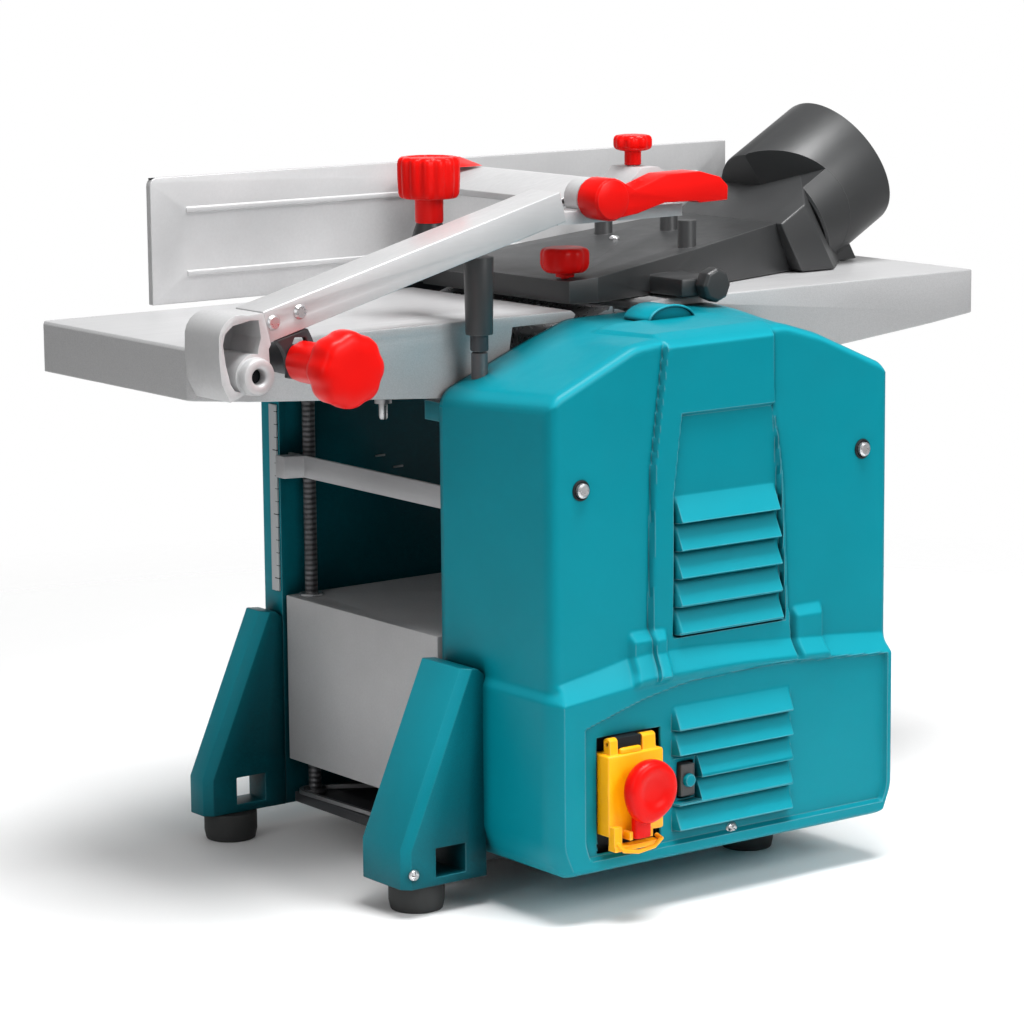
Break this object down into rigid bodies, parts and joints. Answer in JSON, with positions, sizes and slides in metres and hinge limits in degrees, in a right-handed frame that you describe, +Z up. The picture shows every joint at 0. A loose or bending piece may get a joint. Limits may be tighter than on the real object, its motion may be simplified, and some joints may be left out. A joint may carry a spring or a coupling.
{
  "type": "thickness planer",
  "caption": "Benchtop surface planer and thicknesser with cast tables, tilting fence, arm-held cutter guard, lifting thicknessing table, crank and dust extraction hood.",
  "frame": {"origin": "centre of the machine's bounding box in X and Y, on the surface it stands on", "axes": "+X along the tables towards the outfeed end, +Y from the operator's side to the fence, +Z up"},
  "size_m": [0.7487, 0.4525, 0.5472],
  "materials": {
    "teal_paint": "semi-gloss teal powder coat",
    "teal_plastic": "satin teal moulded plastic with louvres",
    "cast_aluminium": "satin aluminium",
    "bright_steel": "bright zinc-plated or ground steel",
    "grey_steel": "machined steel",
    "black_plastic": "dark grey moulded plastic",
    "red_plastic": "bright red moulded plastic",
    "yellow_plastic": "yellow moulded plastic",
    "rubber": "black rubber",
    "dark_paint": "dark grey painted steel",
    "scale_strip": "printed aluminium strip"
  },
  "bodies": {
    "frame": {"base_pan": "dark_paint", "front_side_wall": "teal_paint", "rear_side_wall": "teal_paint", "front_cover": "teal_plastic", "rear_cover": "teal_plastic", "front_left_leg": "teal_paint", "rear_left_leg": "teal_paint", "foot_front_left": "rubber", "foot_rear_left": "rubber", "foot_front_right": "rubber", "foot_rear_right": "rubber", "outfeed_table": "cast_aluminium", "thickness_scale": "scale_strip", "cutter_bearing_front": "bright_steel", "cutter_bearing_rear": "bright_steel", "motor": "dark_paint", "drive_belt": "rubber", "feed_gearbox": "cast_aluminium", "feed_chain": "grey_steel", "lift_chain": "grey_steel", "chip_guard_bar": "bright_steel", "fence_bracket": "dark_paint", "dust_hood": "black_plastic", "dust_chute": "black_plastic", "switch_housing": "black_plastic", "cover_screw_left": "bright_steel", "cover_screw_right": "bright_steel"},
    "infeed_table": {"infeed_table": "cast_aluminium", "guard_pivot_pin": "bright_steel"},
    "cutter": {"cutter_block": "bright_steel", "planer_knife_a": "bright_steel", "planer_knife_b": "bright_steel", "cutter_pulley": "grey_steel"},
    "motor_rotor": {"motor_pulley": "grey_steel"},
    "infeed_roller": {"infeed_roller": "grey_steel"},
    "outfeed_roller": {"outfeed_roller": "grey_steel"},
    "thickness_table": {"thickness_table": "cast_aluminium"},
    "rear_leadscrew": {"rear_leadscrew": "grey_steel"},
    "front_leadscrew": {"front_leadscrew": "grey_steel"},
    "lift_spindle": {"lift_spindle": "bright_steel"},
    "crank": {"crank": "black_plastic"},
    "crank_grip": {"crank_grip": "red_plastic"},
    "fence": {"fence_plate": "cast_aluminium"},
    "fence_lock_knob": {"fence_lock_knob": "black_plastic"},
    "guard_arm": {"guard_arm_knuckle": "cast_aluminium", "guard_arm_tube": "cast_aluminium", "arm_rivet_lower": "bright_steel", "arm_rivet_upper": "bright_steel", "arm_slot_lug": "dark_paint", "guard_carrier": "bright_steel"},
    "arm_lock_knob": {"arm_lock_knob": "red_plastic"},
    "guard_bar": {"guard_bar": "cast_aluminium", "guard_bar_end_cap": "red_plastic"},
    "guard_clamp_knob": {"guard_clamp_knob": "red_plastic"},
    "guard_lever": {"guard_lever": "red_plastic"},
    "hood_knob": {"hood_knob": "red_plastic"},
    "hood_latch_knob": {"hood_latch_knob": "black_plastic"},
    "switch_lid": {"switch_lid": "yellow_plastic"},
    "stop_paddle": {"stop_paddle": "red_plastic"},
    "reset_button": {"reset_button": "black_plastic"}
  },
  "joints": [
    {"name": "infeed_depth", "type": "slide", "parent": "frame", "child": "infeed_table", "axis": [0, 0, 1], "range_m": [-0.003, 0]},
    {"name": "cutter_spin", "type": "hinge", "parent": "frame", "child": "cutter", "pos_m": [-0.0027, 0.0498, 0.386], "axis": [0, 1, 0], "continuous": true},
    {"name": "motor_spin", "type": "hinge", "parent": "frame", "child": "motor_rotor", "pos_m": [0.0473, -0.0967, 0.135], "axis": [0, 1, 0], "continuous": true},
    {"name": "infeed_roller_spin", "type": "hinge", "parent": "frame", "child": "infeed_roller", "pos_m": [-0.0627, 0.0498, 0.3665], "axis": [0, 1, 0], "continuous": true},
    {"name": "outfeed_roller_spin", "type": "hinge", "parent": "frame", "child": "outfeed_roller", "pos_m": [0.0573, 0.0498, 0.3665], "axis": [0, 1, 0], "continuous": true},
    {"name": "thickness_table_lift", "type": "slide", "parent": "frame", "child": "thickness_table", "axis": [0, 0, 1], "range_m": [-0.022, 0.083]},
    {"name": "rear_leadscrew_spin", "type": "hinge", "parent": "frame", "child": "rear_leadscrew", "pos_m": [-0.1487, 0.1388, 0], "axis": [0, 0, 1], "range_deg": [-2000, 7500]},
    {"name": "front_leadscrew_spin", "type": "hinge", "parent": "frame", "child": "front_leadscrew", "pos_m": [0.1313, -0.0392, 0], "axis": [0, 0, 1], "range_deg": [-2000, 7500]},
    {"name": "lift_spindle_spin", "type": "hinge", "parent": "frame", "child": "lift_spindle", "pos_m": [-0.1377, -0.0692, 0], "axis": [0, 0, 1], "range_deg": [-2000, 7500]},
    {"name": "crank_turn", "type": "hinge", "parent": "frame", "child": "crank", "pos_m": [-0.1377, -0.0692, 0.409], "axis": [0, 0, 1], "range_deg": [-40, 40]},
    {"name": "crank_grip_spin", "type": "hinge", "parent": "crank", "child": "crank_grip", "pos_m": [-0.1377, -0.0092, 0.466], "axis": [0, 0, 1], "continuous": true},
    {"name": "fence_tilt", "type": "hinge", "parent": "frame", "child": "fence", "pos_m": [-0.0027, 0.1545, 0.4202], "axis": [1, 0, 0], "range_deg": [-45, 0]},
    {"name": "fence_lock_turn", "type": "hinge", "parent": "frame", "child": "fence_lock_knob", "pos_m": [0.0173, 0.2123, 0.41], "axis": [0, 1, 0], "range_deg": [-360, 0]},
    {"name": "guard_arm_swing", "type": "hinge", "parent": "infeed_table", "child": "guard_arm", "pos_m": [-0.3482, -0.0772, 0.4005], "axis": [0, -1, 0], "range_deg": [0, 20]},
    {"name": "arm_lock_turn", "type": "hinge", "parent": "infeed_table", "child": "arm_lock_knob", "pos_m": [-0.3087, -0.1402, 0.407], "axis": [0, 1, 0], "range_deg": [-360, 0]},
    {"name": "guard_bar_reach", "type": "slide", "parent": "guard_arm", "child": "guard_bar", "axis": [0, 1, 0], "range_m": [-0.004, 0.009]},
    {"name": "guard_clamp_turn", "type": "hinge", "parent": "guard_arm", "child": "guard_clamp_knob", "pos_m": [0.0183, -0.0502, 0.5205], "axis": [0, 0, 1], "range_deg": [0, 360]},
    {"name": "guard_lever_lift", "type": "hinge", "parent": "guard_arm", "child": "guard_lever", "pos_m": [-0.0437, -0.0827, 0.502], "axis": [0, -1, 0], "range_deg": [0, 95]},
    {"name": "hood_knob_turn", "type": "hinge", "parent": "frame", "child": "hood_knob", "pos_m": [-0.0227, -0.0202, 0.438], "axis": [0, 0, 1], "range_deg": [0, 360]},
    {"name": "hood_latch_turn", "type": "hinge", "parent": "frame", "child": "hood_latch_knob", "pos_m": [0.0773, -0.0785, 0.429], "axis": [0, 1, 0], "range_deg": [-360, 0]},
    {"name": "switch_lid_lift", "type": "hinge", "parent": "frame", "child": "switch_lid", "pos_m": [-0.106, -0.1992, 0.1295], "axis": [-1, 0, 0], "range_deg": [0, 100]},
    {"name": "stop_paddle_press", "type": "hinge", "parent": "switch_lid", "child": "stop_paddle", "pos_m": [-0.106, -0.2122, 0.0645], "axis": [-1, 0, 0], "range_deg": [0, 3.5]},
    {"name": "reset_button_press", "type": "slide", "parent": "frame", "child": "reset_button", "axis": [0, 1, 0], "range_m": [0, 0.003], "stiffness_N_per_m": 300, "springref_m": -0.001}
  ],
  "couplings": [
    {"joint": "motor_spin", "follows": "cutter_spin", "ratio": 0.75},
    {"joint": "infeed_roller_spin", "follows": "cutter_spin", "ratio": -0.02},
    {"joint": "outfeed_roller_spin", "follows": "cutter_spin", "ratio": -0.02},
    {"joint": "rear_leadscrew_spin", "follows": "thickness_table_lift", "rad_per_m": 1570.8},
    {"joint": "front_leadscrew_spin", "follows": "thickness_table_lift", "rad_per_m": 1570.8},
    {"joint": "lift_spindle_spin", "follows": "thickness_table_lift", "rad_per_m": 1570.8}
  ]
}
